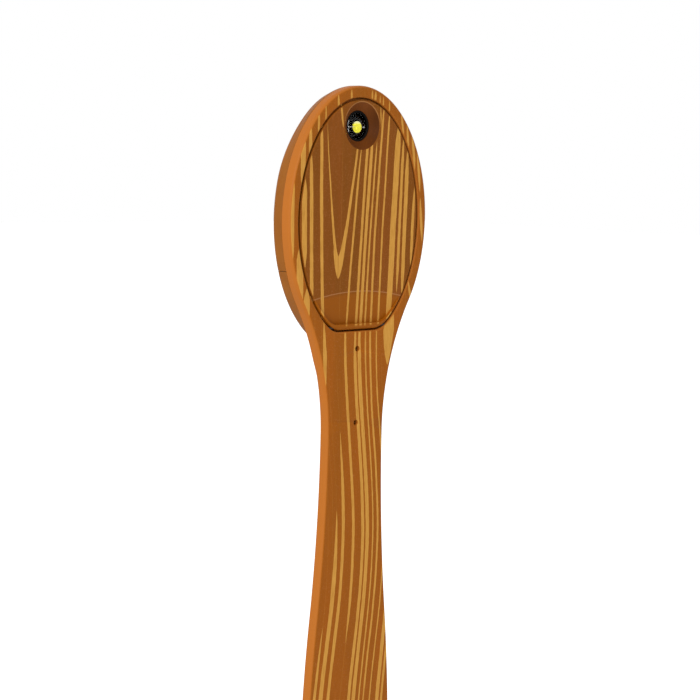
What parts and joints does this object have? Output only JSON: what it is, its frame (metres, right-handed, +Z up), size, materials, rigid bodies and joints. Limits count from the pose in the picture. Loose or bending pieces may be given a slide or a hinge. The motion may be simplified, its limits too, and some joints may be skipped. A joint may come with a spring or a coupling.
{
  "type": "flexible reading light",
  "caption": "Flat bookmark reading light: an oval tilting head with a small lamp in a ring frame, on a bendable strip stem with a rounded blade that slips between pages.",
  "frame": {"origin": "on the flat back of the stem, in the middle of its width, where the stem enters the pages", "axes": "+X to the right seen from the lit front, +Y out of the flat back, +Z up along the stem to the head"},
  "size_m": [0.0348, 0.0055, 0.1701],
  "materials": {
    "printed_plastic": "satin, with a printed wood grain",
    "plain_plastic": "satin",
    "black_plastic": "gloss",
    "steel": "satin",
    "cell_steel": "satin",
    "spring_metal": "bright",
    "board_green": "solder mask",
    "amber_film": "polyimide film",
    "clear_resin": "clear",
    "phosphor": "phosphor coated"
  },
  "bodies": {
    "blade": {"blade": "printed_plastic", "stem_core": "steel"},
    "neck_lower": {"neck_link_lower": "printed_plastic"},
    "neck_upper": {"neck_link_upper": "printed_plastic"},
    "frame": {"frame_front": "printed_plastic", "rear_ring": "plain_plastic", "stem_clamp": "plain_plastic", "frame_screws": "steel", "hinge_pin": "steel"},
    "head": {"head_front": "printed_plastic", "head_back": "plain_plastic", "head_screws": "steel", "coin_cell": "cell_steel", "contact_negative": "spring_metal", "contact_positive": "spring_metal", "switch_board": "board_green", "tact_switch": "black_plastic", "button_dome": "steel", "resistor": "black_plastic", "flex_strip": "amber_film", "led_board": "board_green", "led_base": "black_plastic", "led_leads": "steel", "led_chip": "phosphor", "led_lens": "clear_resin", "led_bezel": "black_plastic"},
    "button": {"power_button": "plain_plastic"},
    "hatch": {"battery_hatch": "plain_plastic"}
  },
  "joints": [
    {"name": "neck_bend_low", "type": "hinge", "parent": "blade", "child": "neck_lower", "pos_m": [0, -0.0011, 0.0045], "axis": [1, 0, 0], "range_deg": [-30, 30], "deforming": ["stem_core"]},
    {"name": "neck_bend_middle", "type": "hinge", "parent": "neck_lower", "child": "neck_upper", "pos_m": [0, -0.0011, 0.0085], "axis": [1, 0, 0], "range_deg": [-30, 30], "deforming": ["stem_core"]},
    {"name": "neck_bend_high", "type": "hinge", "parent": "neck_upper", "child": "frame", "pos_m": [0, -0.0011, 0.0125], "axis": [1, 0, 0], "range_deg": [-30, 30], "deforming": ["stem_core"]},
    {"name": "head_flip", "type": "hinge", "parent": "frame", "child": "head", "pos_m": [0, -0.00165, 0.02045], "axis": [1, 0, 0], "range_deg": [0, 90]},
    {"name": "button_press", "type": "slide", "parent": "head", "child": "button", "axis": [0, -1, 0], "range_m": [0, 0.00035], "stiffness_N_per_m": 900, "deforming": ["button_dome"]},
    {"name": "hatch_turn", "type": "hinge", "parent": "head", "child": "hatch", "pos_m": [0, 0.003, 0.0426], "axis": [0, 1, 0], "range_deg": [-34, 0]}
  ]
}
